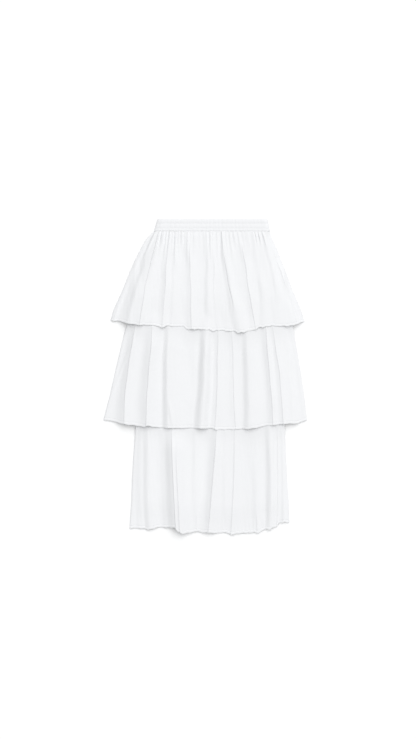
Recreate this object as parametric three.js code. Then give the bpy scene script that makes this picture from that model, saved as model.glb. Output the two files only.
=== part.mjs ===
// A tiered ruffle skirt in white poplin, laid flat on a surface with its front up.
// Three gathered tiers hang from an elastic waistband. The third is the long panel underneath,
// and the second is sewn on to it. Millimetres: X across, Y from hem to waist, Z up.
import * as THREE from "three";

const CLOTH = 1.3; // wall of a tier's cloth
const SEAM_GAP = 0.3; // left between two pieces that are sewn together
const LAYER = CLOTH + SEAM_GAP; // least rise from one layer of cloth to the next
const BACK_LIFT = 4.6; // rise from one back layer to the next, away from the waist
const FRONT_LIFT = 3.8; // rise from one front layer to the next, away from the waist
const PUFF = 2.5; // further rise of a front over its back, away from its sides
const PUFF_WIDTH = 45; // distance from a side over which a front reaches that rise
const OPENING_LENGTH = 130; // distance below a seam over which its layers part
const FADE_LENGTH = 52; // length over which cloth comes down past another layer's seam or hem
const SIDE_FADE = 0.92; // share of the step between two tiers' sides used by the slope there
const BACK_SHORTER = 2.5; // a back's hem is hidden by this much
const GATHER_END = 0.32; // share of a tier's length where its small gathers die out

const WAIST_SEAM = 378; // Y where the tiers meet the waistband
const WAIST_TOP = 410;
const TIER_2_SEAM = 205; // Y where tier 2 is sewn on to tier 3

// Sides: the outline's left and right at heights from the seam to the hem.
const TIER_1_SIDES = [
  { y: 378, left: -133, right: 168 },
  { y: 355, left: -156, right: 177 },
  { y: 303, left: -182, right: 197 },
  { y: 225, left: -214, right: 226 },
  { y: 160, left: -242, right: 253 },
  { y: 143, left: -246, right: 257 },
];
const TIER_2_SIDES = [
  { y: 205, left: -180, right: 206 },
  { y: 134, left: -203, right: 227 },
  { y: 88, left: -216, right: 235 },
  { y: -6, left: -237, right: 250 },
  { y: -113, left: -264, right: 264 },
];
const TIER_3_SIDES = [
  { y: 378, left: -124, right: 159 },
  { y: 205, left: -152, right: 184 },
  { y: -140, left: -181, right: 207 },
  { y: -260, left: -189, right: 213 },
  { y: -396, left: -197, right: 219 },
];

// Hems: how far down the lower edge lies at places across it.
const TIER_1_HEM = [
  { x: -246, y: 146 },
  { x: -136, y: 130 },
  { x: -49, y: 121 },
  { x: 20, y: 116 },
  { x: 98, y: 114 },
  { x: 145, y: 128 },
  { x: 217, y: 129 },
  { x: 257, y: 143 },
];
const TIER_2_HEM = [
  { x: -264, y: -113 },
  { x: -208, y: -124 },
  { x: -120, y: -132 },
  { x: 18, y: -135 },
  { x: 74, y: -138 },
  { x: 166, y: -128 },
  { x: 241, y: -122 },
  { x: 264, y: -114 },
];
const TIER_3_HEM = [
  { x: -197, y: -396 },
  { x: -145, y: -397 },
  { x: -78, y: -389 },
  { x: -63, y: -410 },
  { x: -24, y: -403 },
  { x: 67, y: -410 },
  { x: 142, y: -406 },
  { x: 184, y: -389 },
  { x: 219, y: -378 },
];

// Folds: where a ridge's crest runs across, at the seam, at the tier's bend and at the hem, how high
// it stands there, and how wide its left and right flanks are at the hem.
const TIER_1_FOLDS = [
  { seam: -126, bend: -168, hem: -206, rise: [0.5, 2.3, 3.3], left: 14, right: 20 },
  { seam: -118, bend: -148, hem: -170, rise: [0.8, 3.6, 4.3], left: 16, right: 24 },
  { seam: -93, bend: -102, hem: -112, rise: [0.8, 3.3, 4.0], left: 14, right: 22 },
  { seam: -76, bend: -81, hem: -84, rise: [0.5, 1.7, 2.0], left: 10, right: 20 },
  { seam: -40, bend: -38, hem: -35, rise: [0.6, 3.3, 4.0], left: 16, right: 26 },
  { seam: 6, bend: 8, hem: 6, rise: [0.5, 2.0, 2.3], left: 18, right: 24 },
  { seam: 28, bend: 26, hem: 40, rise: [0.5, 1.7, 1.3], left: 12, right: 16 },
  { seam: 46, bend: 60, hem: 88, rise: [0.8, 4.3, 3.3], left: 16, right: 26 },
  { seam: 90, bend: 112, hem: 131, rise: [0.6, 3.3, 4.0], left: 14, right: 20 },
  { seam: 128, bend: 143, hem: 155, rise: [0.6, 1.7, 2.3], left: 14, right: 22 },
  { seam: 152, bend: 200, hem: 238, rise: [0.5, 2.0, 2.3], left: 16, right: 14 },
];
const TIER_2_FOLDS = [
  { seam: -160, bend: -196, hem: -210, rise: [0.6, 4.6, 7.0], left: 24, right: 30 },
  { seam: -122, bend: -143, hem: -153, rise: [0.6, 5.4, 9.0], left: 28, right: 36 },
  { seam: -88, bend: -97, hem: -95, rise: [0.5, 3.6, 6.5], left: 18, right: 44 },
  { seam: -10, bend: 0, hem: -8, rise: [0.6, 5.0, 8.0], left: 22, right: 20 },
  { seam: 28, bend: 34, hem: 25, rise: [0.6, 4.3, 5.0], left: 14, right: 22 },
  { seam: 62, bend: 71, hem: 78, rise: [0.4, 2.0, 2.3], left: 10, right: 18 },
  { seam: 96, bend: 112, hem: 114, rise: [0.5, 3.0, 5.0], left: 24, right: 30 },
  { seam: 142, bend: 165, hem: 176, rise: [0.6, 3.6, 4.6], left: 14, right: 12 },
  { seam: 160, bend: 188, hem: 203, rise: [0.6, 3.6, 4.0], left: 12, right: 20 },
  { seam: 186, bend: 220, hem: 232, rise: [0.4, 2.3, 2.6], left: 14, right: 14 },
];
const TIER_3_FOLDS = [
  { seam: -92, bend: -148, hem: -145, rise: [0.1, 2.0, 4.6], left: 24, right: 26 },
  { seam: -48, bend: -86, hem: -74, rise: [0.1, 3.0, 10.0], left: 40, right: 40 },
  { seam: -8, bend: -24, hem: -22, rise: [0.1, 1.3, 2.0], left: 16, right: 22 },
  { seam: 26, bend: 27, hem: 9, rise: [0.1, 3.0, 7.6], left: 22, right: 28 },
  { seam: 54, bend: 76, hem: 67, rise: [0.1, 2.1, 4.0], left: 18, right: 24 },
  { seam: 86, bend: 128, hem: 134, rise: [0.1, 1.5, 2.6], left: 20, right: 22 },
  { seam: 112, bend: 168, hem: 172, rise: [0.1, 1.8, 4.6], left: 14, right: 12 },
  { seam: 134, bend: 193, hem: 200, rise: [0.1, 1.8, 3.3], left: 12, right: 10 },
];
// The backs lie on the surface under the skirt's weight, so their ridges are low.
const BACK_FOLD_SHARE = 0.3;
const BACK_FOLD_MOST = 1.7;
// Tier 3 is held flat down to the seam that joins tier 2 to it.
const TIER_3_FLAT_TO = TIER_2_SEAM;

const TIERS = [
  {
    name: "tier_1", seam: WAIST_SEAM, flatTo: WAIST_SEAM, bend: 0.5, sides: TIER_1_SIDES,
    hem: TIER_1_HEM, folds: TIER_1_FOLDS, gathers: 2.2, columns: { front: 40, back: 26 },
    rows: [0, 0.09, 0.2, 0.34, 0.55, 0.8, 1],
  },
  {
    name: "tier_2", seam: TIER_2_SEAM, flatTo: TIER_2_SEAM, bend: 0.5, sides: TIER_2_SIDES,
    hem: TIER_2_HEM, folds: TIER_2_FOLDS, gathers: 1.4, columns: { front: 40, back: 26 },
    rows: [0, 0.09, 0.18, 0.27, 0.34, 0.42, 0.7, 1],
  },
  {
    name: "tier_3", seam: WAIST_SEAM, flatTo: TIER_3_FLAT_TO, bend: 0.64, sides: TIER_3_SIDES,
    hem: TIER_3_HEM, folds: TIER_3_FOLDS, gathers: 0, columns: { front: 32, back: 22 },
    rows: [0, 0.09, 0.165, 0.22, 0.3, 0.35, 0.4, 0.5, 0.65, 0.7, 0.76, 0.88, 1],
  },
];

// A value read between a table's rows, whose column named key runs up or down.
function between(rows, key, at, column) {
  const turn = rows[0][key] < rows[rows.length - 1][key] ? 1 : -1;
  if ((at - rows[0][key]) * turn <= 0) return rows[0][column];
  for (let i = 1; i < rows.length; i++) {
    const low = rows[i - 1];
    const high = rows[i];
    if ((at - high[key]) * turn <= 0) {
      const share = (at - low[key]) / (high[key] - low[key]);
      return low[column] + share * (high[column] - low[column]);
    }
  }
  return rows[rows.length - 1][column];
}

const clamped = (value) => Math.min(1, Math.max(0, value));
const eased = (value) => clamped(value) ** 2 * (3 - 2 * clamped(value));
const leftOf = (tier, y) => between(tier.sides, "y", y, "left");
const rightOf = (tier, y) => between(tier.sides, "y", y, "right");
const hemOf = (tier, x) => between(tier.hem, "x", x, "y");

// A fold's value at a share of the tier's length, through its seam, bend and hem values.
function along(tier, values, share) {
  const [seam, bend, hem] = values;
  if (share < tier.bend) return seam + ((bend - seam) * share) / tier.bend;
  return bend + ((hem - bend) * (share - tier.bend)) / (1 - tier.bend);
}

// How fully one tier lies over or under a point of another: 1 where it does, falling to 0 towards
// the other's side, and past its own seam or hem.
function covered(by, tier, x, y) {
  const leftStep = (leftOf(by, y) - leftOf(tier, y)) * SIDE_FADE;
  const rightStep = (rightOf(tier, y) - rightOf(by, y)) * SIDE_FADE;
  const left = leftStep > 0 ? eased(1 - (leftOf(by, y) - x) / leftStep) : 1;
  const right = rightStep > 0 ? eased(1 - (x - rightOf(by, y)) / rightStep) : 1;
  const under = clamped(1 - (hemOf(by, x) - y) / FADE_LENGTH) ** 2;
  const above = eased(1 - (y - by.seam) / FADE_LENGTH);
  return Math.min(left, right) * under * above;
}

// The rise across one tier's cloth to the next layer inside it: least at its seam.
function liftOf(tier, most, y) {
  return LAYER + (most - LAYER) * clamped((tier.seam - y) / OPENING_LENGTH);
}

// The middle of a tier's flat cloth, before its folds. Layers outside it lift it by their backs,
// and layers inside it lift its front by a back and a front.
function bedOf(tier, front, x, y) {
  const place = TIERS.indexOf(tier);
  let z = CLOTH / 2;
  TIERS.slice(0, place).forEach((outer) => {
    z += liftOf(outer, BACK_LIFT, y) * covered(outer, tier, x, y);
  });
  if (!front) return z;
  TIERS.slice(place, -1).forEach((shell) => {
    const inner = TIERS.slice(TIERS.indexOf(shell) + 1);
    const filled = Math.max(...inner.map((other) => covered(other, tier, x, y)));
    const there = shell === tier ? 1 : covered(shell, tier, x, y);
    z += (liftOf(shell, BACK_LIFT, y) + liftOf(shell, FRONT_LIFT, y)) * Math.min(filled, there);
  });
  return z + LAYER + PUFF * clamped((WAIST_SEAM - y) / OPENING_LENGTH) * insideOf(tier, x, y);
}

// How far inside a tier's sides a point is: 0 at a side and 1 past the width where it puffs up.
function insideOf(tier, x, y) {
  return eased(Math.min(x - leftOf(tier, y), rightOf(tier, y) - x) / PUFF_WIDTH);
}

// The folds' rise: each is a crest with a flank on either side, narrower where the tier is.
function foldsOf(tier, x, y, share, fullness) {
  let z = 0;
  for (const fold of tier.folds) {
    const off = x - along(tier, [fold.seam, fold.bend, fold.hem], share);
    const flank = (off < 0 ? fold.left : fold.right) * fullness;
    z += along(tier, fold.rise, share) * clamped(1 - Math.abs(off) / flank) ** 1.5;
  }
  return z * clamped((tier.flatTo - y) / OPENING_LENGTH + (tier.flatTo === tier.seam ? 1 : 0));
}

// X of each column on one row. A column runs down each fold's crest, and the others are spaced
// evenly between those. A back's columns are a front's turned round, as its folds are.
function columnsOf(tier, front, share) {
  const count = front ? tier.columns.front : tier.columns.back;
  const corners = tier.sides.at(-1);
  const width = corners.right - corners.left;
  const left = leftOf(tier, rowHeight(tier, corners.left, share));
  const right = rightOf(tier, rowHeight(tier, corners.right, share));
  const pins = [{ i: 0, x: left }];
  for (const fold of tier.folds) {
    const i = Math.round((count * (fold.hem - corners.left)) / width);
    pins.push({ i, x: along(tier, [fold.seam, fold.bend, fold.hem], share) });
  }
  pins.push({ i: count, x: right });
  const columns = Array.from({ length: count + 1 }, (_, i) => between(pins, "i", i, "x"));
  if (front) return columns;
  return columns.map((x) => left + right - x).reverse();
}

// Y of a point a share of the way from a tier's seam to its hem, on the column that meets the hem
// at a given x.
function rowHeight(tier, hemX, share) {
  return tier.seam + (hemOf(tier, hemX) - tier.seam) * share;
}

// The middle surface of a tier's front or back, as rows of points.
function surfaceOf(tier, front) {
  const hemColumns = columnsOf(tier, front, 1);
  const seamWidth = rightOf(tier, tier.seam) - leftOf(tier, tier.seam);
  const fullnessAtSeam = seamWidth / (hemColumns.at(-1) - hemColumns[0]);
  return tier.rows.map((share) => {
    const columns = columnsOf(tier, front, share);
    const fullness = fullnessAtSeam + (1 - fullnessAtSeam) * share;
    const turned = columns[0] + columns.at(-1);
    return columns.map((x, i) => {
      const y = rowHeight(tier, hemColumns[i], share) + (front ? 0 : BACK_SHORTER * share);
      const side = i === 0 || i === columns.length - 1;
      const gather = i % 2 ? tier.gathers * clamped(1 - share / GATHER_END) : 0;
      const folds = foldsOf(tier, front ? x : turned - x, y, share, fullness);
      const low = Math.min(BACK_FOLD_MOST, folds * BACK_FOLD_SHARE) * insideOf(tier, x, y);
      const rise = side || (share === 0 && !front) ? 0 : front ? folds + gather : low;
      return new THREE.Vector3(x, y, bedOf(tier, front, x, y) + rise);
    });
  });
}

// A closed wall from a grid of points: its upper and lower faces, then its four edges.
function wallFrom(rows, thickness) {
  const across = rows[0].length;
  const count = across * rows.length;
  const points = [];
  for (const side of [thickness / 2, -thickness / 2]) {
    for (const row of rows) {
      for (const point of row) points.push(point.x, point.y, point.z + side);
    }
  }
  const faces = [];
  const quad = (a, b, c, d) => faces.push(a, b, c, a, c, d);
  for (let r = 0; r + 1 < rows.length; r++) {
    for (let c = 0; c + 1 < across; c++) {
      const a = r * across + c;
      quad(a, a + across, a + across + 1, a + 1);
      quad(a + count, a + count + 1, a + count + across + 1, a + count + across);
    }
    const left = r * across;
    const right = left + across - 1;
    quad(left, left + count, left + count + across, left + across);
    quad(right, right + across, right + across + count, right + count);
  }
  for (let c = 0; c + 1 < across; c++) {
    const low = (rows.length - 1) * across + c;
    quad(c, c + 1, c + 1 + count, c + count);
    quad(low, low + count, low + 1 + count, low + 1);
  }
  return closedGeometry(points, faces);
}

function closedGeometry(points, faces) {
  const geometry = new THREE.BufferGeometry();
  geometry.setAttribute("position", new THREE.Float32BufferAttribute(points, 3));
  geometry.setIndex(faces);
  geometry.computeVertexNormals();
  return geometry;
}

// The waistband is a loop of cloth over elastic, pressed flat: a wall round a narrow slit.
const BAND_WALL = 3;
const BAND_SLIT = 0.6;
const BAND_STEPS = 30; // along its front, and as many along its back
const BAND_END_STEPS = 5; // round each end
const BAND_RUCHE = 0.5; // how far every other step of the front stands up
// Sections of the band: its width, and how far its front face is drawn in there by stitching.
const BAND_SECTIONS = [
  { y: WAIST_SEAM + SEAM_GAP, left: -133, right: 168, drawn: 0.4 },
  { y: 385.5, left: -130, right: 166, drawn: 0.7 },
  { y: 392, left: -128, right: 165, drawn: 0 },
  { y: 398.2, left: -126, right: 164, drawn: 0.7 },
  { y: 404, left: -125, right: 163, drawn: 0.1 },
  { y: WAIST_TOP, left: -123, right: 161, drawn: 0.9 },
];

// One section's outer or inner line: along the front, round the right end, back, round the left.
function bandLine(section, inner) {
  const inset = inner ? BAND_WALL : 0;
  const half = BAND_SLIT / 2 + BAND_WALL - inset;
  const middle = BAND_SLIT / 2 + BAND_WALL;
  const left = section.left + inset + half;
  const right = section.right - inset - half;
  const line = [];
  for (let i = 0; i <= BAND_STEPS; i++) {
    const edge = i === 0 || i === BAND_STEPS;
    const ruche = !inner && !edge ? BAND_RUCHE * (i % 2) - section.drawn : 0;
    line.push([left + ((right - left) * i) / BAND_STEPS, middle + half + ruche]);
  }
  for (let i = 1; i < BAND_END_STEPS; i++) {
    const turn = (Math.PI * i) / BAND_END_STEPS;
    line.push([right + half * Math.sin(turn), middle + half * Math.cos(turn)]);
  }
  for (let i = BAND_STEPS; i >= 0; i--) {
    line.push([left + ((right - left) * i) / BAND_STEPS, middle - half]);
  }
  for (let i = 1; i < BAND_END_STEPS; i++) {
    const turn = (Math.PI * i) / BAND_END_STEPS;
    line.push([left - half * Math.sin(turn), middle - half * Math.cos(turn)]);
  }
  return line;
}

function bandGeometry() {
  const points = [];
  const around = bandLine(BAND_SECTIONS[0], false).length;
  for (const inner of [false, true]) {
    for (const section of BAND_SECTIONS) {
      for (const [x, z] of bandLine(section, inner)) points.push(x, section.y, z);
    }
  }
  const count = around * BAND_SECTIONS.length;
  const faces = [];
  const quad = (a, b, c, d) => faces.push(a, b, c, a, c, d);
  for (let i = 0; i < around; i++) {
    const next = (i + 1) % around;
    for (let r = 0; r + 1 < BAND_SECTIONS.length; r++) {
      const low = r * around;
      const high = low + around;
      quad(low + i, low + next, high + next, high + i);
      quad(count + low + i, count + high + i, count + high + next, count + low + next);
    }
    const top = count - around;
    quad(i, count + i, count + next, next);
    quad(top + i, top + next, count + top + next, count + top + i);
  }
  return closedGeometry(points, faces);
}

function poplin(color) {
  return new THREE.MeshStandardMaterial({ color, roughness: 0.85, metalness: 0 });
}

const skirt = new THREE.Group();

function add(name, geometry, color) {
  const mesh = new THREE.Mesh(geometry, poplin(color));
  mesh.name = name;
  skirt.add(mesh);
}

add("waistband", bandGeometry(), 0xf3f4f8);
for (const tier of TIERS) {
  add(`${tier.name}_front`, wallFrom(surfaceOf(tier, true), CLOTH), 0xf5f6f9);
  add(`${tier.name}_back`, wallFrom(surfaceOf(tier, false), CLOTH), 0xf5f6f9);
}

export default skirt;
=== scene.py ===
import math

import bpy
import numpy as np
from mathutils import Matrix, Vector
from mathutils.bvhtree import BVHTree


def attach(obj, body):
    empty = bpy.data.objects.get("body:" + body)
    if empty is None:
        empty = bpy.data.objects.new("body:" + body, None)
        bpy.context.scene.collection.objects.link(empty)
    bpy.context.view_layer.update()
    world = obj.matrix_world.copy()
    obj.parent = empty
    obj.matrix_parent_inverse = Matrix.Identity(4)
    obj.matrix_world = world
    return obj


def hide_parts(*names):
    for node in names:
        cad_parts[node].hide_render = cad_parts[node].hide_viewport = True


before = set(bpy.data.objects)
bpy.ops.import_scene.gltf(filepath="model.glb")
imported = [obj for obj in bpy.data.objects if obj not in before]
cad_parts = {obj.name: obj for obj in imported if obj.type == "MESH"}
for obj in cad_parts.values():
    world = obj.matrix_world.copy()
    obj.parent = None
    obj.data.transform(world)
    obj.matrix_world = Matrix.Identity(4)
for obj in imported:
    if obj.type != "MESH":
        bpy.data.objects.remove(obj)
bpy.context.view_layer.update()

# --- How the tiers lie ----------------------------------------------------------------
# Three gathered tubes of poplin lie one inside another, pressed flat with the front up.
# Each has a back on the surface and a front over it; an outer tier's hem ends short of the
# next one's. Sizes are in millimetres, X across, Y from hem to waist, Z up.
MM = 0.001
LAYER = 2.2  # least rise from one layer of cloth to the next
BACK_LIFT = 4.8  # rise from one back to the next, away from its seam
FRONT_LIFT = 3.6  # and from one front to the next
OPENING_LENGTH = 130  # distance below a seam over which its layers part
FADE_LENGTH = 52  # length over which cloth comes down past another tier's hem
DRAPE_LENGTH = 110  # and above the seam of a tier that lies under it
PART_ABOVE = 60  # how far above an inner tier's seam its layers begin to part
SIDE_FADE = 0.78  # share of the step between two tiers' sides that the slope there takes up
PUFF = 2.5  # rise of a front over its back, away from its sides
PUFF_WIDTH = 45  # over which it rises
BACK_HEIGHT = 0.45  # middle of a back's cloth over the surface
EDGE_HEIGHT = 1.05  # middle of a front's cloth at its side seams
EDGE_ROLL = 2.2  # how high a side is rolled, and over what width
EDGE_ROLL_WIDTH = 7
EDGE_ROLL_AT_WAIST = 0.25  # share of the roll that is left at the waist seam
DROOP_LENGTH = 80  # length over which a front sinks towards its hem
HEM_ROLL = 0.6  # how far the hem's edge then bends down, and over what length
HEM_ROLL_LENGTH = 7
WAIST_SEAM = 378


def table(columns, *rows):
    """A table's columns by name."""
    return dict(zip(columns.split(), np.array(rows, float).T))


def reading(rows, key, at, column):
    """A column's value between the rows on either side of a place."""
    order = np.argsort(rows[key])
    return np.interp(at, rows[key][order], rows[column][order])


def eased(value):
    value = np.clip(value, 0, 1)
    return value * value * (3 - 2 * value)


TIERS = [
    {
        "seam": WAIST_SEAM,
        "droop": 1.4,
        "sides": table(
            "y left right",
            (378, -133, 168.5),
            (366, -146, 170),
            (355, -155, 176),
            (325, -171, 189),
            (303, -182, 197),
            (278, -193, 207),
            (225, -214, 226),
            (174, -237, 248),
            (143, -246, 257),
        ),
        "hem": table(
            "x y",
            (-246, 146),
            (-206, 138),
            (-174, 134),
            (-136, 130),
            (-114, 127),
            (-100, 130),
            (-56, 128),
            (-49, 120),
            (-32, 123),
            (18, 116.5),
            (48, 117),
            (70, 114),
            (98, 114),
            (126, 119),
            (145, 128),
            (170, 129),
            (217, 128),
            (232, 132),
            (257, 143),
        ),
    },
    {
        "seam": 205,
        "droop": 1.4,
        "sides": table(
            "y left right",
            (205, -180, 206),
            (134, -203, 227),
            (88, -216, 235),
            (5, -235, 249),
            (-48, -247, 257),
            (-113, -264, 264),
        ),
        "hem": table(
            "x y",
            (-264, -112),
            (-216, -122),
            (-158, -130),
            (-148, -127),
            (-120, -132.5),
            (-19, -134),
            (18, -134.5),
            (30, -138),
            (74, -138),
            (122, -134.5),
            (166, -127),
            (204, -123),
            (241, -122),
            (264, -113),
        ),
    },
    {
        "seam": WAIST_SEAM,
        "droop": 4.6,
        "sides": table(
            "y left right",
            (378, -124, 159),
            (205, -152, 184),
            (-140, -181, 207),
            (-196, -185, 209),
            (-260, -189, 212),
            (-323, -191, 216),
            (-396, -196, 219),
        ),
        "hem": table(
            "x y",
            (-196, -395),
            (-146, -397),
            (-125, -392),
            (-80, -391),
            (-70, -402),
            (-60, -407),
            (-24, -403),
            (4, -405),
            (40, -407),
            (67, -410),
            (108, -409),
            (142, -406),
            (158, -398),
            (184, -390),
            (197, -382),
            (219, -378),
        ),
    },
]


def side_of(tier, y, column):
    return reading(tier["sides"], "y", y, column)


def hem_of(tier, x):
    return reading(tier["hem"], "x", x, "y")


def covered(by, tier, x, y):
    """1 where one tier lies over or under another, falling to 0 past its own edges."""
    across = []
    for side, sign in (("left", 1), ("right", -1)):
        edge = side_of(by, y, side)
        step = sign * (edge - side_of(tier, y, side)) * SIDE_FADE
        past = sign * (edge - x)
        across.append(np.where(step > 0, eased(1 - past / np.maximum(step, 1)), 1))
    under = np.clip(1 - (hem_of(by, x) - y) / FADE_LENGTH, 0, 1) ** 2
    above = eased(1 - (y - by["seam"]) / DRAPE_LENGTH)
    return np.minimum(*across) * under * above


def inside_of(tier, x, y, width):
    """0 at a tier's side seams, and 1 past this width from them."""
    edge = np.minimum(x - side_of(tier, y, "left"), side_of(tier, y, "right") - x)
    return np.clip(edge / width, 0, 1)


def opened(seam, y):
    """How far layers have parted below a seam, from 0 to 1."""
    share = np.clip((seam - y) / OPENING_LENGTH, 0, 1)
    return share * (2 - share)


def lift_of(tier, most, y):
    return LAYER + (most - LAYER) * opened(tier["seam"], y)


def bed_of(tier, front, x, y):
    """Height of a tier's cloth before its folds: the layers outside it lift it by their
    backs, and the layers inside it lift its front by a back and a front."""
    place = TIERS.index(tier)
    z = np.full_like(x, BACK_HEIGHT)
    for outer in TIERS[:place]:
        z += lift_of(outer, BACK_LIFT, y) * covered(outer, tier, x, y)
    if not front:
        return z
    for i in range(place, len(TIERS) - 1):
        shell = TIERS[i]
        filled = np.maximum.reduce([covered(inner, tier, x, y) for inner in TIERS[i + 1 :]])
        if shell is tier:
            z += (lift_of(shell, BACK_LIFT, y) + lift_of(shell, FRONT_LIFT, y)) * filled
            continue
        parted = eased((shell["seam"] + PART_ABOVE - y) / (OPENING_LENGTH + PART_ABOVE))
        lift = 2 * LAYER + (BACK_LIFT + FRONT_LIFT - 2 * LAYER) * parted
        z += lift * np.minimum(filled, covered(shell, tier, x, y))
    puffed = opened(WAIST_SEAM, y)
    z += PUFF * puffed * eased(inside_of(tier, x, y, PUFF_WIDTH))
    rolled = np.sqrt(1 - (1 - inside_of(tier, x, y, EDGE_ROLL_WIDTH)) ** 2)
    z += (EDGE_HEIGHT - BACK_HEIGHT) + EDGE_ROLL * rolled * (
        EDGE_ROLL_AT_WAIST + (1 - EDGE_ROLL_AT_WAIST) * puffed
    )
    to_hem = y - hem_of(tier, x)
    droop = tier["droop"] * eased(1 - to_hem / DROOP_LENGTH)
    droop = droop + HEM_ROLL * np.clip(1 - to_hem / HEM_ROLL_LENGTH, 0, 1.1) ** 2
    return z - droop * eased(inside_of(tier, x, y, PUFF_WIDTH))


# --- Tier 3 ---------------------------------------------------------------------------
# The long underskirt: two straight panels of crisp white poplin, seamed at the sides and
# gathered into the waistband. Its lower third shows as the bottom tier, where the fulness
# hangs in long soft pleats that have fallen over on one another. The hem is turned twice.
CLOTH = 0.55  # thickness of the shell
HEM_DEPTH = 6.5  # the hem's stitching runs this far above its edge
HEM_ROWS = (0, 0.7, 1.6, 3.0, 4.6, 5.8, 6.5, 7.2, 8.4, 10.2)
FOLD_EDGE = 2.4  # length of cloth turned at a crisp fold's edge
FOLD_FADE = 0.26  # share of a tier's length over which a fold comes and goes
CROWDING = 0.125  # how closely columns crowd towards the folds
WANDER = 1.6  # how far a fold's crest strays from its line
SEAM_HEIGHT = 0.3  # share of its height that a fold has at the seam
PRESSED_UNDER = 0.5  # share of its folds' height that a tier loses under the one above
PRESSED_LENGTH = 60  # and how far below that one's hem it regains it
CONTACT_GAP = 0.75  # from a piece's upper face to the middle of the cloth that lies on it
CONTACT_SOFTNESS = 0.15
CONTACT_REACH = 3  # grid steps over which the cloth bridges an edge under it
NOTHING_BELOW = -50.0
RIPPLE_PITCH = 24  # of the small waves along a hem
SCALLOP_RISE = 3.6  # a fold this high keeps its hem down; between folds the hem draws up
END_WIDTH = 12  # width at a panel's sides over which its folds die out
DRIFTS = (  # slow unevenness of the cloth: height, wavelength, stretch along Y, seed's step
    (0.32, 46, 3.5, 0),
    (0.13, 14, 4.5, 50),
)
RIPPLE_SEED = 90
GATHER_HELD = 0.65  # share of its height that a gather has at the seam
GATHER_HELD_LENGTH = 14  # and the length below it over which it gains the rest
GATHER_SPREAD = 0.015  # how much wider a gather grows for each millimetre below the seam
WELT = 0.3  # a turned hem's extra thickness, and the width of the step up to it
WELT_EDGE = 1.2
GROOVE = 0.45  # depth and width to which its stitching draws it in
GROOVE_WIDTH = 0.8
FAR_FROM_HEM = 99.0
SEAM_BULK = 1.0  # what the gathered cloth adds at the waist seam, and how far below it
SEAM_BULK_LENGTH = 30
BACK_SHORTER = 2.5  # a back's hem is hidden by this much
BACK_FOLD_SHARE = 0.3  # the backs' folds are pressed down by the cloth over them
BACK_FOLD_MOST = 1.7


def fold_place(fold, tier, share):
    """Where a fold's crest runs: a bow through its places at the seam, the bend and the hem,
    from which it strays a little."""
    bend = tier["bend"]
    bow = (
        fold["seam"] * (share - bend) * (share - 1) / bend
        + fold["at_bend"] * share * (share - 1) / (bend * (bend - 1))
        + fold["hem"] * share * (share - bend) / (1 - bend)
    )
    stray = np.sin(9 * share + fold["hem"]) + 0.6 * np.sin(21 * share + 2.3 * fold["hem"])
    return bow + WANDER * stray * share * (1 - share) * 2.5


def fold_rise(fold, share):
    """A fold's height. It is full between its start and its end, and fades out past them."""
    grown = eased(1 + (share - fold["start"]) / FOLD_FADE)
    kept = eased(1 + (fold["end"] - share) / FOLD_FADE)
    return fold["high"] * grown * kept


def ridge(off, left, right, crisp):
    """Height over a fold, from 0 to 1. The left flank climbs slowly and then steps up by
    its crisp share, and the right flank falls away softly."""
    climb = np.clip(1 + off / left, 0, 1)
    climb = climb**1.8 * (1 - crisp * 0.2) if crisp else eased(climb)
    step = eased(1 + off / FOLD_EDGE)
    fall = np.clip(1 - off / right, 0, 1)
    fall = fall * fall * (1.6 - 0.6 * fall) if crisp else eased(fall)
    return np.where(off < 0, (1 - crisp) * climb + crisp * step, fall)


def folds_in(tier):
    names = list(tier["folds"])
    for values in zip(*tier["folds"].values()):
        yield dict(zip(names, values))


def lay_columns(tier, front, shares, count):
    """X of every column on every row. A column runs down each fold's crest, and the others
    crowd towards the crests."""
    corners = [tier["sides"][side][-1] for side in ("left", "right")]
    heights = [tier["seam"] + (hem_of(tier, x) - tier["seam"]) * shares for x in corners]
    left = side_of(tier, heights[0], "left")
    right = side_of(tier, heights[1], "right")
    pins, places = [0], [left]
    for fold in folds_in(tier):
        spread = (fold["hem"] - corners[0]) / (corners[1] - corners[0])
        pins.append(int(round(count * spread)))
        places.append(fold_place(fold, tier, shares))
    pins.append(count)
    places.append(right)
    columns = []
    for a, b, low, high in zip(pins, pins[1:], places, places[1:]):
        t = np.arange(b - a) / (b - a)
        t = t - CROWDING * np.sin(2 * math.pi * t)
        columns.append(low[:, None] + (high - low)[:, None] * t)
    columns = np.hstack([*columns, right[:, None]])
    return columns if front else (left + right)[:, None] - columns[:, ::-1]


def drift(x, y, seed, scale, stretch):
    """Slow uneven waves between about -1 and 1, longer along Y than across."""
    draw = np.random.default_rng(seed)
    total = np.zeros_like(x)
    for _ in range(7):
        across, down, phase = draw.uniform(0.5, 1.6), draw.uniform(-1, 1), draw.uniform(0, 6.3)
        total += np.sin(2 * math.pi * (across * x + down * y / stretch) / scale + phase)
    return total / 3.5


def crease(x, y, line, width, height):
    """A short crease in the cloth, fading out towards its ends."""
    (x0, y0), (x1, y1) = line
    along = np.hypot(x1 - x0, y1 - y0)
    ux, uy = (x1 - x0) / along, (y1 - y0) / along
    t = ((x - x0) * ux + (y - y0) * uy) / along
    off = (x - x0) * uy - (y - y0) * ux
    return height * np.exp(-((off / width) ** 2)) * np.clip(4 * t * (1 - t), 0, 1)


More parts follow.
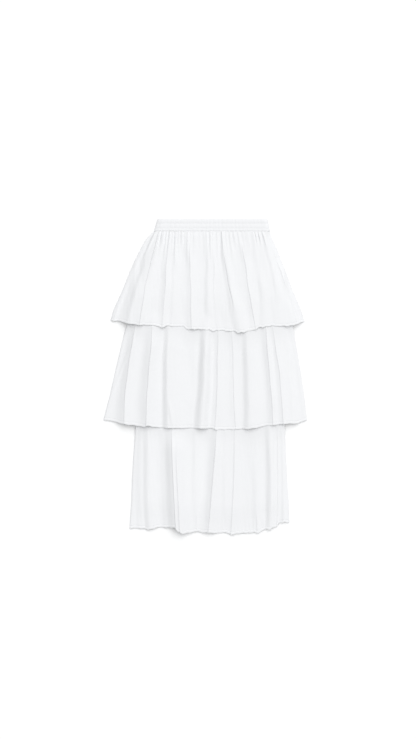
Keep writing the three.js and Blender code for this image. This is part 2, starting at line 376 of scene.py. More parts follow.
def gather_ridges(tier, x, down, length, columns):
    """The short gathers below a seam. Each follows a column, widens as it goes and dies out."""
    rise = np.zeros_like(x)
    for gather in tier["gathers"]:
        at = np.interp(gather["at"], x[0], np.arange(columns + 1))
        low, part = int(at), at - int(at)
        crest = x[:, low] * (1 - part) + x[:, min(low + 1, columns)] * part
        fade = eased(1.25 * (1 - down * length / gather["length"]))
        held = GATHER_HELD + (1 - GATHER_HELD) * eased(down * length / GATHER_HELD_LENGTH)
        wide = gather["width"] * (1 + GATHER_SPREAD * down * length)
        shape = ridge(x - crest[:, None], wide, 1.25 * wide, gather["crisp"])
        rise += gather["high"] * fade * held * shape
    return rise


def lay_panel(tier, front, columns, rows, seed):
    """The middle of one panel's cloth, as grids of X, Y and Z over rows and columns."""
    length = tier["seam"] - hem_of(tier, 0.0)
    shares = np.linspace(0, 1 - HEM_ROWS[-1] / length, rows)
    shares = np.append(shares[:-1], [1 - d / length for d in reversed(HEM_ROWS)])
    x = lay_columns(tier, front, shares, columns)
    down = shares[:, None]
    turned = x if front else x[:, :1] + x[:, -1:] - x
    width = (x[:, -1:] - x[:, :1]) / (x[-1, -1] - x[-1, 0])
    y = tier["seam"] + (hem_of(tier, x[-1]) - tier["seam"]) * down
    if not front:
        y = y + BACK_SHORTER * down
    z = bed_of(tier, front, x, y)
    inside = eased(inside_of(tier, x, y, END_WIDTH))
    pressed = np.clip((tier["flat_to"] - y) / OPENING_LENGTH, 0, 1) if tier["flat_to"] else 1
    grown = SEAM_HEIGHT + (1 - SEAM_HEIGHT) * eased(down * length / tier["growth"])
    rise, shift = np.zeros_like(x), np.zeros_like(x)
    for fold in folds_in(tier):
        off = turned - fold_place(fold, tier, down)
        high = fold_rise(fold, down)
        rise += high * ridge(off, fold["left"] * width, fold["right"] * width, fold["crisp"])
        shift += fold["tuck"] * high / fold["high"] * np.exp(-((off / FOLD_EDGE + 1) ** 2) * 1.6)
    rise = rise * grown
    place = TIERS.index(tier)
    if place:
        upper = TIERS[place - 1]
        pressed = pressed * (1 - PRESSED_UNDER * eased(1 + (y - hem_of(upper, x)) / PRESSED_LENGTH))
    if front:
        rise += gather_ridges(tier, x, down, length, columns)
        if tier["gathers"]:
            rise += SEAM_BULK * eased(1 - down * length / SEAM_BULK_LENGTH)
        for line, wide, high in tier["creases"]:
            rise += crease(x, y, line, wide, high)
    rise += sum(
        high * drift(x, y, seed + step, scale, stretch) for high, scale, stretch, step in DRIFTS
    )
    rise = rise * pressed
    if front:
        x = x + shift * grown * pressed * inside
        y = y + tier["scallop"] * np.clip(1 - rise / SCALLOP_RISE, 0, 1) * down**5 * inside
        ripple = np.interp(x, tier["hem"]["x"][[0, -1]], tier["ripple"])
        waves = drift(x, 0 * y, seed + RIPPLE_SEED, RIPPLE_PITCH, 1)
        y = y + ripple * waves * down**9 * inside
    else:
        rise = np.clip(BACK_FOLD_SHARE * rise, 0, BACK_FOLD_MOST)
        rise = rise * eased(inside_of(tier, x, y, PUFF_WIDTH))
    return x, y, z + rise * inside


def widened(field, reach):
    """A field's greatest value within a reach of grid steps, evened out over the same reach,
    so that cloth bridges the edges that it lies over."""
    windows = np.lib.stride_tricks.sliding_window_view
    span = 2 * reach + 1
    most = windows(np.pad(field, ((0, 0), (reach, reach)), "edge"), span, axis=1).max(axis=2)
    return windows(np.pad(most, reach, "edge"), (span, span)).mean(axis=(2, 3))


def laid_over(x, y, z, below):
    """Raises a front's cloth wherever it would come closer than a layer to the piece below."""
    tree = BVHTree.FromObject(below, bpy.context.evaluated_depsgraph_get())
    down = Vector((0, 0, -1))
    floor_z = np.full(x.size, NOTHING_BELOW)
    for i, (px, py) in enumerate(zip(x.ravel() * MM, y.ravel() * MM)):
        hit = tree.ray_cast(Vector((px, py, 0.1)), down)[0]
        if hit:
            floor_z[i] = hit.z / MM
    short = floor_z.reshape(x.shape) + CONTACT_GAP - z
    raised = CONTACT_SOFTNESS * np.logaddexp(0, short / CONTACT_SOFTNESS)
    return z + widened(raised, CONTACT_REACH)


def hem_welt(z):
    """A turned hem is three layers thick, and is drawn in along its stitching."""
    from_edge = np.full(len(z), FAR_FROM_HEM)
    from_edge[-len(HEM_ROWS) :] = HEM_ROWS[::-1]
    band = np.clip((HEM_DEPTH - from_edge) / WELT_EDGE, 0, 1)
    groove = np.exp(-(((from_edge - HEM_DEPTH) / GROOVE_WIDTH) ** 2))
    return z + (WELT * band - GROOVE * groove)[:, None]


def grid_normals(points):
    down = np.gradient(points, axis=0)
    across = np.gradient(points, axis=1)
    normals = np.cross(down, across)
    return normals / np.linalg.norm(normals, axis=2, keepdims=True)


def cloth_mesh(name, x, y, z, front, cut_width, cut_length):
    """A closed thin shell from a panel's middle surface, with the cut's own flat
    coordinates as its UV map, in metres."""
    points = np.stack([x, y, z], axis=2) * MM
    normals = grid_normals(points)
    normals *= np.sign(normals[:, :, 2].mean()) or 1
    half = CLOTH * MM / 2
    sheets = [points + normals * half, points - normals * half]
    rows, columns = x.shape
    count = rows * columns
    index = np.arange(count).reshape(rows, columns)
    a, b, c, d = index[:-1, :-1], index[1:, :-1], index[1:, 1:], index[:-1, 1:]
    upper = np.stack([a, b, c, d], axis=2).reshape(-1, 4)
    lower = np.stack([a, d, c, b], axis=2).reshape(-1, 4) + count
    rim = np.concatenate([index[:, 0], index[-1, 1:], index[-2::-1, -1], index[0, -2:0:-1]])
    after = np.roll(rim, -1)
    edge = np.stack([rim, rim + count, after + count, after], axis=1)
    faces = np.concatenate([upper, lower, edge])
    mesh = bpy.data.meshes.new(name)
    mesh.from_pydata(np.concatenate([s.reshape(-1, 3) for s in sheets]), [], faces.tolist())
    run = np.concatenate([[0], np.cumsum(np.hypot(np.diff(x[-1]), np.diff(z[-1])))])
    u = np.broadcast_to(run / run[-1] * cut_width, (rows, columns))
    v = np.broadcast_to(np.linspace(0, cut_length, rows)[:, None], (rows, columns))
    flat = np.tile(np.stack([u, v], axis=2).reshape(-1, 2), (2, 1))
    layer = mesh.uv_layers.new(name="cut")
    layer.data.foreach_set("uv", flat[faces.ravel()].ravel())
    mesh.polygons.foreach_set("use_smooth", np.ones(len(faces), bool))
    mesh.update()
    piece = bpy.data.objects.new(name, mesh)
    bpy.context.scene.collection.objects.link(piece)
    return piece


def poplin(name, colour):
    """Crisp white cotton poplin: a fine plain weave that follows the cut, slubs along the
    weft, a slight unevenness of tone, and painted shade in the hollows of a broad crumple."""
    material = bpy.data.materials.new(name)
    material.use_nodes = True
    nodes, links = material.node_tree.nodes, material.node_tree.links
    shader = nodes["Principled BSDF"]
    shader.inputs["Roughness"].default_value = 0.85
    shader.inputs["Specular IOR Level"].default_value = 0.25
    shader.inputs["Sheen Weight"].default_value = 0.12
    shader.inputs["Sheen Roughness"].default_value = 0.5
    place = nodes.new("ShaderNodeUVMap")
    place.uv_map = "cut"
    weave = []
    for turn in (0.0, math.pi / 2):
        mapping = nodes.new("ShaderNodeMapping")
        mapping.inputs["Rotation"].default_value[2] = turn
        links.new(place.outputs["UV"], mapping.inputs["Vector"])
        threads = nodes.new("ShaderNodeTexWave")
        threads.inputs["Scale"].default_value = 480
        threads.inputs["Distortion"].default_value = 0.6
        threads.inputs["Detail Scale"].default_value = 2
        links.new(mapping.outputs["Vector"], threads.inputs["Vector"])
        weave.append(threads.outputs["Fac"])
    woven = nodes.new("ShaderNodeMath")
    woven.operation = "MULTIPLY"
    for socket, threads in zip(woven.inputs, weave):
        links.new(threads, socket)
    slubs = nodes.new("ShaderNodeTexNoise")
    stretch = nodes.new("ShaderNodeMapping")
    stretch.inputs["Scale"].default_value = (40, 900, 1)
    links.new(place.outputs["UV"], stretch.inputs["Vector"])
    links.new(stretch.outputs["Vector"], slubs.inputs["Vector"])
    slubs.inputs["Scale"].default_value = 1
    # A broad crumple that bumps the cloth and, through the colour below, also paints shade into its
    # own hollows.
    crumple_bump_and_shade = nodes.new("ShaderNodeTexNoise")
    where = nodes.new("ShaderNodeTexCoord")
    links.new(where.outputs["Object"], crumple_bump_and_shade.inputs["Vector"])
    crumple_bump_and_shade.inputs["Scale"].default_value = 38
    crumple_bump_and_shade.inputs["Detail"].default_value = 3
    fine = nodes.new("ShaderNodeBump")
    fine.inputs["Strength"].default_value = 0.12
    fine.inputs["Distance"].default_value = 0.0001
    links.new(woven.outputs["Value"], fine.inputs["Height"])
    broad = nodes.new("ShaderNodeBump")
    broad.inputs["Strength"].default_value = 0.25
    broad.inputs["Distance"].default_value = 0.0016
    links.new(crumple_bump_and_shade.outputs["Fac"], broad.inputs["Height"])
    links.new(fine.outputs["Normal"], broad.inputs["Normal"])
    links.new(broad.outputs["Normal"], shader.inputs["Normal"])
    # The colour darkens by up to 3.5% where the slubs and the broad crumple are low. The slubs'
    # part is the yarn's own tone; the crumple's part is painted shade in the hollows of its bump.
    tone_and_painted_shade = nodes.new("ShaderNodeMix")
    tone_and_painted_shade.data_type = "RGBA"
    slub_and_hollow_shade = [0.965 * part for part in colour]
    tone_and_painted_shade.inputs[6].default_value = (*slub_and_hollow_shade, 1)
    tone_and_painted_shade.inputs[7].default_value = (*colour, 1)
    slubs_and_hollow_shade_mask = nodes.new("ShaderNodeMath")
    slubs_and_hollow_shade_mask.operation = "ADD"
    links.new(slubs.outputs["Fac"], slubs_and_hollow_shade_mask.inputs[0])
    links.new(crumple_bump_and_shade.outputs["Fac"], slubs_and_hollow_shade_mask.inputs[1])
    half = nodes.new("ShaderNodeMath")
    half.operation = "MULTIPLY"
    half.inputs[1].default_value = 0.5
    links.new(slubs_and_hollow_shade_mask.outputs["Value"], half.inputs[0])
    links.new(half.outputs["Value"], tone_and_painted_shade.inputs[0])
    links.new(tone_and_painted_shade.outputs[2], shader.inputs["Base Color"])
    return material


WHITE = (0.795, 0.799, 0.809)
poplin_cloth = poplin("white_poplin", WHITE)


def thread_finish():
    """White cotton thread, twisted of three strands."""
    material = bpy.data.materials.new("cotton_thread")
    material.use_nodes = True
    nodes, links = material.node_tree.nodes, material.node_tree.links
    shader = nodes["Principled BSDF"]
    shader.inputs["Roughness"].default_value = 0.7
    shader.inputs["Specular IOR Level"].default_value = 0.3
    where = nodes.new("ShaderNodeTexCoord")
    twist_bump_and_shade = nodes.new("ShaderNodeTexNoise")
    twist_bump_and_shade.inputs["Scale"].default_value = 1800
    links.new(where.outputs["Object"], twist_bump_and_shade.inputs["Vector"])
    # The thread darkens by up to 10% where its twist bump dips. This is painted shade between the
    # strands.
    tone_and_painted_shade = nodes.new("ShaderNodeMix")
    tone_and_painted_shade.data_type = "RGBA"
    tone_and_painted_shade.inputs[6].default_value = (*[0.9 * part for part in WHITE], 1)
    tone_and_painted_shade.inputs[7].default_value = (*WHITE, 1)
    links.new(twist_bump_and_shade.outputs["Fac"], tone_and_painted_shade.inputs[0])
    links.new(tone_and_painted_shade.outputs[2], shader.inputs["Base Color"])
    strands = nodes.new("ShaderNodeBump")
    strands.inputs["Strength"].default_value = 0.4
    strands.inputs["Distance"].default_value = 0.0001
    links.new(twist_bump_and_shade.outputs["Fac"], strands.inputs["Height"])
    links.new(strands.outputs["Normal"], shader.inputs["Normal"])
    return material


thread = thread_finish()
STITCH_PITCH = 3.1  # of a lockstitch, and the length of thread that shows of each stitch
STITCH_LENGTH = 2.5
THREAD = 0.42  # the thread's thickness


def stitching_tree():
    """Geometry Nodes that lay one stitch after another along a line, each turned along it."""
    tree = bpy.data.node_groups.new("stitching", "GeometryNodeTree")
    for name, kind, value in (
        ("Line", "NodeSocketGeometry", None),
        ("Pitch", "NodeSocketFloat", STITCH_PITCH * MM),
        ("Stitch length", "NodeSocketFloat", STITCH_LENGTH * MM),
        ("Thread", "NodeSocketFloat", THREAD * MM),
    ):
        socket = tree.interface.new_socket(name, in_out="INPUT", socket_type=kind)
        if value:
            socket.default_value = value
    tree.interface.new_socket("Stitches", in_out="OUTPUT", socket_type="NodeSocketGeometry")
    nodes, links = tree.nodes, tree.links
    given = nodes.new("NodeGroupInput")
    made = nodes.new("NodeGroupOutput")
    line = nodes.new("GeometryNodeMeshToCurve")
    spaced = nodes.new("GeometryNodeResampleCurve")
    spaced.mode = "LENGTH"
    stitch = nodes.new("GeometryNodeMeshUVSphere")
    stitch.inputs["Segments"].default_value = 6
    stitch.inputs["Rings"].default_value = 5
    stitch.inputs["Radius"].default_value = 0.5
    size = nodes.new("ShaderNodeCombineXYZ")
    along = nodes.new("GeometryNodeInputTangent")
    turn = nodes.new("FunctionNodeAlignRotationToVector")
    turn.axis = "X"
    place = nodes.new("GeometryNodeInstanceOnPoints")
    real = nodes.new("GeometryNodeRealizeInstances")
    finish = nodes.new("GeometryNodeSetMaterial")
    finish.inputs["Material"].default_value = thread
    smooth = nodes.new("GeometryNodeSetShadeSmooth")
    links.new(given.outputs["Line"], line.inputs["Mesh"])
    links.new(line.outputs["Curve"], spaced.inputs["Curve"])
    links.new(given.outputs["Pitch"], spaced.inputs["Length"])
    links.new(spaced.outputs["Curve"], place.inputs["Points"])
    links.new(stitch.outputs["Mesh"], place.inputs["Instance"])
    links.new(along.outputs["Tangent"], turn.inputs["Vector"])
    links.new(turn.outputs["Rotation"], place.inputs["Rotation"])
    links.new(given.outputs["Stitch length"], size.inputs["X"])
    links.new(given.outputs["Thread"], size.inputs["Y"])
    links.new(given.outputs["Thread"], size.inputs["Z"])
    links.new(size.outputs["Vector"], place.inputs["Scale"])
    links.new(place.outputs["Instances"], real.inputs["Geometry"])
    links.new(real.outputs["Geometry"], smooth.inputs["Geometry"])
    links.new(smooth.outputs["Geometry"], finish.inputs["Geometry"])
    links.new(finish.outputs["Geometry"], made.inputs["Stitches"])
    return tree


stitching = stitching_tree()


def stitch_row(name, lines, pitch=STITCH_PITCH):
    """Rows of stitches along one or more lines of points, as one plain mesh."""
    points, edges = [], []
    for line in lines:
        first = len(points)
        points += [tuple(point) for point in line * MM]
        edges += [(i, i + 1) for i in range(first, len(points) - 1)]
    mesh = bpy.data.meshes.new(name + "_line")
    mesh.from_pydata(points, edges, [])
    guide = bpy.data.objects.new(name + "_line", mesh)
    bpy.context.scene.collection.objects.link(guide)
    nodes = guide.modifiers.new("stitching", "NODES")
    nodes.node_group = stitching
    sockets = {socket.name: socket.identifier for socket in stitching.interface.items_tree}
    nodes[sockets["Pitch"]] = pitch * MM
    graph = bpy.context.evaluated_depsgraph_get()
    made = bpy.data.meshes.new_from_object(guide.evaluated_get(graph), depsgraph=graph)
    made.name = name
    row = bpy.data.objects.new(name, made)
    bpy.context.scene.collection.objects.link(row)
    bpy.data.objects.remove(guide)
    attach(row, "root")
    return row


def hem_path(x, y, z, front):
    """The hem's stitching line, half sunk in the outer face of the cloth."""
    row = -1 - HEM_ROWS.index(HEM_DEPTH)
    face = CLOTH / 2 if front else -CLOTH / 2
    return [np.stack([x[row, 1:-1], y[row, 1:-1], z[row, 1:-1] + face], axis=1)]


def sew_panel(name, tier, front, columns, rows, seed, cut, below=None):
    """One panel of a tier, hemmed and laid in place of its solid."""
    x, y, z = lay_panel(tier, front, columns, rows, seed)
    if front:
        z = hem_welt(laid_over(x, y, z, below))
    piece = cloth_mesh(name, x, y, z, front, *cut)
    piece.data.materials.append(poplin_cloth)
    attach(piece, "root")
    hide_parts(name.removesuffix("_cloth"))
    stitches = stitch_row(name.removesuffix("cloth") + "hem_stitches", hem_path(x, y, z, front))
    return piece


FOLD_COLUMNS = "seam at_bend hem high start end left right crisp tuck"
TIERS[2].update(
    bend=0.64,
    flat_to=205,
    growth=1,
    scallop=3,
    ripple=(0.4, 2.2),
    folds=table(
        FOLD_COLUMNS,
        (-100, -162, -166, 2.0, 0.5, 1.3, 16, 22, 0, 0),
        (-92, -147, -143, 5.8, 0.5, 1.3, 16, 36, 0, 0),
        (-54, -86, -76, 13, 0.75, 0.94, 60, 90, 0.08, 0.9),
        (-53, -85, -75.5, 6.2, 0.75, 1.3, 24, 40, 0, 0),
        (-44, -74, -65, 3.0, 0.8, 1.3, 9, 34, 0.3, 1.2),
        (-8, -24, -22, 3.2, 0.5, 0.8, 14, 26, 0, 0),
        (26, 29, 8, 10.2, 0.5, 1.3, 27, 40, 0.05, 0.6),
        (44, 54, 52, 2.8, 0.4, 0.84, 15, 24, 0, 0),
        (58, 78, 67, 3.6, 0.6, 1.3, 18, 36, 0.24, 1.0),
        (86, 128, 134, 2.2, 0.9, 1.3, 14, 22, 0, 0),
        (108, 167, 170, 6.0, 0.6, 1.3, 17, 17, 0, 0),
        (124, 187, 186, 2.6, 0.55, 1.3, 10, 10, 0.15, 0.6),
        (138, 198, 204, 2.2, 0.5, 1.3, 9, 10, 0, 0.3),
    ),
    gathers=[],
    creases=[
        (((-21, -345), (-22, -408)), 3, 1.4),
        (((135, -350), (136, -410)), 3, 1.4),
        (((150, -360), (152, -402)), 3, 1.1),
    ],
)
# Each panel's cut, in metres: a little more than its hem runs along its folds, and its length
# with the hem's turning.
TIER_3_CUT = (0.45, 0.80)
tier_3_back = sew_panel("tier_3_back_cloth", TIERS[2], False, 150, 60, 13, TIER_3_CUT)
tier_3_front = sew_panel(
    "tier_3_front_cloth", TIERS[2], True, 250, 130, 3, TIER_3_CUT, below=tier_3_back
)

# --- Tier 2 ---------------------------------------------------------------------------
# The middle ruffle: two wider panels gathered on to the underskirt, under tier 1. Broad
# pleats fan out from the gathers, each tucked under the next one's left edge.
TIERS[1].update(
    bend=0.5,
    flat_to=None,
    growth=110,
    scallop=1.5,
    ripple=(0.7, 0.8),
    folds=table(
        FOLD_COLUMNS,
        (-162, -197, -210, 8.6, 0.2, 1.3, 26, 40, 0.07, 0.8),
        (-128, -144, -153, 12, 0.2, 1.3, 35, 48, 0.07, 0.8),
        (-93, -96, -95, 9.4, 0.1, 1.3, 19, 68, 0, 0),
        (6, 0, -11, 11.4, 0.1, 1.3, 22, 24, 0, 0.4),
        (30, 33, 25, 5.0, 0.1, 1.3, 16, 34, 0.1, 0.8),
        (68, 72, 79, 2.2, 0.2, 1.3, 13, 20, 0.3, 0.8),
        (100, 112, 113, 7.2, 0.1, 0.95, 19, 42, 0, 0),
        (148, 165, 176, 6.4, 0.1, 1.0, 20, 18, 0.05, 0.6),
        (163, 188, 203, 3.8, 0.2, 1.3, 16, 24, 0.12, 0.9),
        (190, 220, 231, 2.2, 0.2, 1.3, 15, 15, 0, 0),
    ),
    gathers=[],
    creases=[
        (((-197, 70), (-244, -48)), 4, 1.5),
        (((-93, -60), (-83, -136)), 4, 1.8),
    ],
)
TIER_2_CUT = (0.58, 0.35)
tier_2_back = sew_panel("tier_2_back_cloth", TIERS[1], False, 160, 50, 12, TIER_2_CUT)
tier_2_front = sew_panel(
    "tier_2_front_cloth", TIERS[1], True, 280, 110, 2, TIER_2_CUT, below=tier_3_front
)

# --- Tier 1 ---------------------------------------------------------------------------
# The top ruffle: two panels gathered tightly into the waistband seam. Short gathers crowd
# below the seam, closest on the left, and run together into a few long fluted folds.
GATHER_PITCH = (6, 12.5)  # spacing of the gathers along the seam
gather_draw = np.random.default_rng(21)
tier_1_gathers = []
gather_x = -128.0
while gather_x < 164:
    close = float(np.interp(gather_x, (-130, -20, 170), (1.0, 0.75, 0.6)))
    tier_1_gathers.append(
        {
            "at": gather_x,
            "length": gather_draw.uniform(55, 140) * (0.55 + 0.45 * close),
            "width": gather_draw.uniform(2.8, 4.8),
            "high": gather_draw.uniform(2.0, 6.4) * close,
            "crisp": gather_draw.uniform(0.05, 0.3),
        }
    )
    gather_x += gather_draw.uniform(*GATHER_PITCH) * (1.25 - 0.35 * close)
TIERS[0].update(
    bend=0.5,
    flat_to=None,
    growth=90,
    scallop=3,
    ripple=(0.9, 1.9),
    folds=table(
        FOLD_COLUMNS,
        (-131, -196, -238, 2.2, 0.2, 1.3, 9, 14, 0.15, 0.6),
        (-126, -167, -197, 4.4, 0.2, 1.3, 15, 30, 0, 0),
        (-119, -149, -170, 5.0, 0.0, 1.3, 22, 26, 0.18, 1),
        (-93, -102, -111, 5.0, 0.0, 1.3, 18, 28, 0.03, 0.5),
        (-78, -81, -84, 2.4, 0.35, 1.3, 11, 28, 0, 0),
        (-40, -38, -35, 4.4, 0.15, 1.3, 18, 38, 0.06, 0.6),
        (6, 9, 6, 3.4, 0.15, 0.7, 14, 18, 0, 0),
        (24, 23, 30, 2.0, 0.1, 0.55, 12, 18, 0.15, 0.6),
        (45, 60, 90, 4.4, 0.1, 0.58, 15, 30, 0.2, 1.4),
        (50, 66, 92, 4.4, 0.8, 1.3, 22, 30, 0, 0),
        (90, 110, 131, 3.0, 0.2, 1.3, 14, 30, 0.2, 1.0),
        (128, 145, 153, 3.0, 0.6, 1.3, 15, 26, 0, 0),
        (148, 182, 205, 2.0, 0.1, 0.5, 14, 20, 0, 0),
        (156, 203, 240, 3.8, 0.2, 1.3, 15, 14, 0.12, 0.6),
    ),
    gathers=tier_1_gathers,
    creases=[],
)
TIER_1_CUT = (0.53, 0.27)
tier_1_back = sew_panel("tier_1_back_cloth", TIERS[0], False, 160, 50, 11, TIER_1_CUT)
tier_1_front = sew_panel(
    "tier_1_front_cloth", TIERS[0], True, 340, 116, 1, TIER_1_CUT, below=tier_2_front
)

# --- Waistband ------------------------------------------------------------------------
# One strip of the poplin folded over a wide elastic and closed to a loop. Two rows of
# stitching run through the elastic, and it draws the casing into fine uneven puckers.
BAND_TOP = 410
BAND_STITCH_ROWS = (385.5, 398.2)
BAND_WALL = 2.0  # casing and elastic together
BAND_BACK = 1.05  # middle of its back over the surface, and of its front
BAND_FRONT = 7.4
BAND_SIDES = table("y left right", (378, -132, 167), (392, -128, 165), (410, -123, 161))
BAND_EDGE = {"left": 10, "right": 6}  # width of its rounded edges
BAND_EDGE_SHARE = 0.7  # share of the front's height that its rounded edges take up
BAND_END = {"left": 42, "right": 14}  # width over which the front comes down to each end
BAND_END_HEIGHT = 1.9  # of the middle of its edge there
PUCKER_HEIGHT = 0.65
END_SCRUNCH = 1.2  # how much more the elastic scrunches the casing by its left end
END_SCRUNCH_LENGTH = 22
BAND_PUCKER = (6.5, 14)  # least and most distance between puckers
BAND_LOOP = 600  # the relaxed loop's length, for spacing its puckers
BAND_CUT = (0.78, 0.033)  # as it shows all round, in metres: 1.3 times the relaxed loop
BAND_STRIP = 0.07  # width of the whole strip, in metres
BAND_STITCH_PITCH = 2.8
STITCH_SINK = 0.2  # how deep its stitches sink into the casing
BAND_STEPS = 620  # columns round the loop
LINE_STEPS = 900  # fine steps along its front and its back, and round each end
TURN_STEPS = 40


def band_fall(run, side):
    """Share of its height that the front has at a distance from an end: a long slope, and a
    round edge."""
    slope = 1 - np.clip(1 - run / BAND_END[side], 0, 1) ** 2
    edge = 1 - np.clip(1 - run / BAND_EDGE[side], 0, 1) ** 1.3
    return (1 - BAND_EDGE_SHARE) * slope + BAND_EDGE_SHARE * edge


def band_line(y):
    """The middle of the loop at one height: along its front, round its right end, along its
    back and round its left. Gives X and Z at evenly spaced places."""
    left, right = (reading(BAND_SIDES, "y", y, side) for side in ("left", "right"))
    half = (BAND_END_HEIGHT - BAND_BACK) * 0.5 + 0.4
    low, high = BAND_BACK, BAND_BACK + 2 * half
    across = np.linspace(left + half, right - half, LINE_STEPS)
    from_left, from_right = across - left - half, right - half - across
    fall = band_fall(from_left, "left") * band_fall(from_right, "right")
    front = high + (BAND_FRONT - high) * fall
    turn = np.linspace(0, math.pi, TURN_STEPS)[1:-1]
    out, up = half * np.sin(turn), half * np.cos(turn)
    x = np.concatenate([across, right - half + out, across[::-1], left + half - out])
    z = np.concatenate([front, low + half + up, np.full(LINE_STEPS, low), low + half - up])
    x, z = np.append(x, x[0]), np.append(z, z[0])
    run = np.concatenate([[0], np.cumsum(np.hypot(np.diff(x), np.diff(z)))])
    even = np.linspace(0, run[-1], BAND_STEPS + 1)[:-1]
    return np.interp(even, run, x), np.interp(even, run, z)


def moved_out(line_x, line_z, out):
    """A loop's line, moved out from its middle."""
    along_x = np.roll(line_x, -1) - np.roll(line_x, 1)
    along_z = np.roll(line_z, -1) - np.roll(line_z, 1)
    size = np.hypot(along_x, along_z)
    return line_x - along_z / size * out, line_z + along_x / size * out


def pucker_wave(seed):
    """Puckers round the loop: puffs from 0 to 1 with sharp dips between them, unevenly wide
    and high."""
    draw = np.random.default_rng(seed)
    dips = [0.0]
    while dips[-1] < BAND_LOOP - BAND_PUCKER[1]:
        dips.append(dips[-1] + draw.uniform(*BAND_PUCKER))
    last = dips[-1] + 0.5 * sum(BAND_PUCKER)
    dips = np.append(np.array(dips) * BAND_LOOP / last, BAND_LOOP)
    tall = draw.uniform(0.45, 1.0, len(dips))
    at = np.arange(BAND_STEPS) / BAND_STEPS * BAND_LOOP
    place = np.interp(at, dips, np.arange(len(dips)))
    share = place - np.floor(place)
    return tall[np.minimum(place.astype(int), len(dips) - 2)] * np.sin(math.pi * share) ** 0.7


def band_section(thick):
    """Round the casing's own section, from the seam up its outside, over the top and down its
    inside: Y, the distance out from the loop's middle, and how far each point can pucker."""
    low, high = BAND_SIDES["y"][0], BAND_TOP
    edges = [low, *BAND_STITCH_ROWS, high]
    y, out, free = [], [], []
    for a, b in zip(edges, edges[1:]):
        for t in (0.04, 0.1, 0.2, 0.35, 0.5, 0.65, 0.8, 0.9, 0.96):
            y.append(a + (b - a) * t)
            swell = math.sin(math.pi * t)
            out.append(thick / 2 - 0.6 + 0.7 * swell**0.6)
            free.append(0.25 + 0.75 * swell**0.7)
    for turn in (0.2, 0.5, 0.8):
        y.append(high + 0.5 * math.sin(math.pi * turn))
        out.append((thick / 2 - 0.35) * math.cos(math.pi * turn))
        free.append(0.3)
    for t in (0.97, 0.8, 0.6, 0.4, 0.2, 0.03):
        y.append(low + (high - low) * t)
        out.append(-thick / 2 + 0.1)
        free.append(-0.12)
    y.append(low - 0.4)
    out.append(0)
    free.append(0)
    return np.array(y), np.array(out), np.array(free)


section_y, section_out, section_free = band_section(BAND_WALL)
channel_waves = [pucker_wave(seed) for seed in (31, 32, 33)]
shared_wave = pucker_wave(30)
SHARED_PUCKER = 0.62  # share of a pucker that runs through all three channels
TOP_DIP = 1.3  # how far the top edge dips at a pucker
band_points = np.zeros((len(section_y), BAND_STEPS, 3))
for i, (y, out, free) in enumerate(zip(section_y, section_out, section_free)):
    line_x, line_z = band_line(min(y, BAND_TOP))
    channel = int(np.searchsorted(BAND_STITCH_ROWS, y))
    wave = SHARED_PUCKER * shared_wave + (1 - SHARED_PUCKER) * channel_waves[channel]
    scrunched = 1 + END_SCRUNCH * np.exp(-np.abs(line_x - line_x.min()) / END_SCRUNCH_LENGTH)
    puff = free * PUCKER_HEIGHT * (wave - 0.4) * scrunched
    band_points[i, :, 0], band_points[i, :, 2] = moved_out(line_x, line_z, out + puff)
    top_share = np.clip((y - BAND_STITCH_ROWS[1]) / (BAND_TOP - BAND_STITCH_ROWS[1]), 0, 1)
    band_points[i, :, 1] = y - TOP_DIP * top_share**2 * (1 - wave)
band_points[:, :, 2] = np.maximum(band_points[:, :, 2], 0.02)
around = len(section_y)
index = np.arange(around * BAND_STEPS).reshape(around, BAND_STEPS)
onward, upward = np.roll(index, -1, axis=1), np.roll(index, -1, axis=0)
faces = np.stack([index, onward, np.roll(upward, -1, axis=1), upward], axis=2).reshape(-1, 4)
band_mesh = bpy.data.meshes.new("waistband_cloth")
band_mesh.from_pydata((band_points * MM).reshape(-1, 3), [], faces.tolist())
band_uv = band_mesh.uv_layers.new(name="cut")
corner = np.tile(np.array([[0, 0], [1, 0], [1, 1], [0, 1]]), (len(faces), 1))
start = faces[:, :1].repeat(4, axis=1).ravel()
u = (start % BAND_STEPS + corner[:, 0]) / BAND_STEPS * BAND_CUT[0]
v = (start // BAND_STEPS + corner[:, 1]) / around * BAND_STRIP
band_uv.data.foreach_set("uv", np.stack([u, v], axis=1).ravel())
band_mesh.polygons.foreach_set("use_smooth", np.ones(len(faces), bool))
band_mesh.update()
waistband = bpy.data.objects.new("waistband_cloth", band_mesh)
bpy.context.scene.collection.objects.link(waistband)
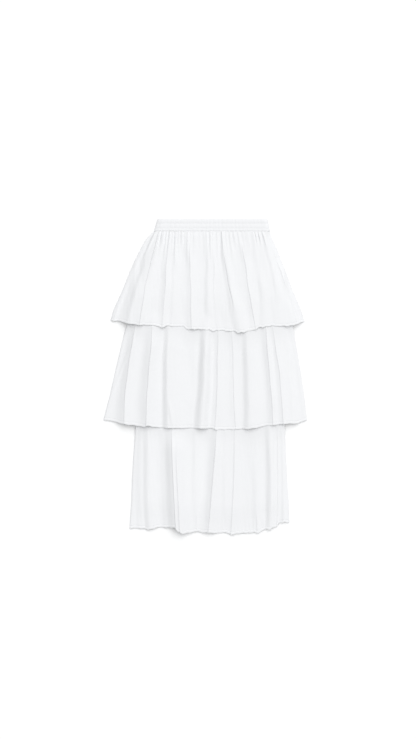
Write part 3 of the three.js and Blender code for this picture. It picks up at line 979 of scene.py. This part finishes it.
# The band is sewn of the same poplin as the tiers, but its colour is made 1.5% lighter. This is
# painted light that brightens the band, not a different white.
band_poplin_painted_lighter = poplin("waistband_poplin_painted_lighter", [1.015 * part for part in WHITE])
waistband.data.materials.append(band_poplin_painted_lighter)
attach(waistband, "root")
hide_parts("waistband")
band_lines = []
for height in BAND_STITCH_ROWS:
    face_x, face_z = moved_out(*band_line(height), BAND_WALL / 2 - STITCH_SINK)
    band_lines.append(np.stack([face_x, np.full(BAND_STEPS, height), face_z], axis=1))
band_stitches = stitch_row("waistband_stitches", band_lines, pitch=BAND_STITCH_PITCH)

# --- Floor, light and camera ----------------------------------------------------------
# A plain white table under an even white room, with a soft lamp up and to the right.
FLOOR_WHITE = (0.905, 0.905, 0.905)
bpy.ops.mesh.primitive_plane_add(size=12, location=(0, 0, -0.0004))
floor = bpy.context.object
floor.name = "floor"
floor_paint = bpy.data.materials.new("floor_paint")
floor_paint.use_nodes = True
floor_shader = floor_paint.node_tree.nodes["Principled BSDF"]
floor_shader.inputs["Base Color"].default_value = (*FLOOR_WHITE, 1)
floor_shader.inputs["Roughness"].default_value = 0.9
floor_shader.inputs["Specular IOR Level"].default_value = 0.1
floor.data.materials.append(floor_paint)

room = bpy.data.worlds.new("room")
bpy.context.scene.world = room
room.use_nodes = True
room.node_tree.nodes["Background"].inputs["Color"].default_value = (0.98, 0.99, 1.0, 1)
room.node_tree.nodes["Background"].inputs["Strength"].default_value = 0.53

lamp = bpy.data.lights.new("lamp", "SUN")
lamp.energy = 2.2
lamp.angle = math.radians(75)
lamp_holder = bpy.data.objects.new("lamp", lamp)
LAMP_FROM = Vector((0.2, 0.4, 0.89))
lamp_holder.rotation_euler = (-LAMP_FROM).to_track_quat("-Z", "Y").to_euler()
bpy.context.scene.collection.objects.link(lamp_holder)

VIEW_HEIGHT = 1.9214  # of the surface, from the frame's top to its bottom
LENS = 85
camera_data = bpy.data.cameras.new("camera")
camera_data.lens = LENS
camera = bpy.data.objects.new("camera", camera_data)
camera.location = (0.0073, 0.0188, VIEW_HEIGHT * LENS / camera_data.sensor_width)
bpy.context.scene.collection.objects.link(camera)
bpy.context.scene.camera = camera
bpy.context.scene.view_settings.view_transform = "Standard"
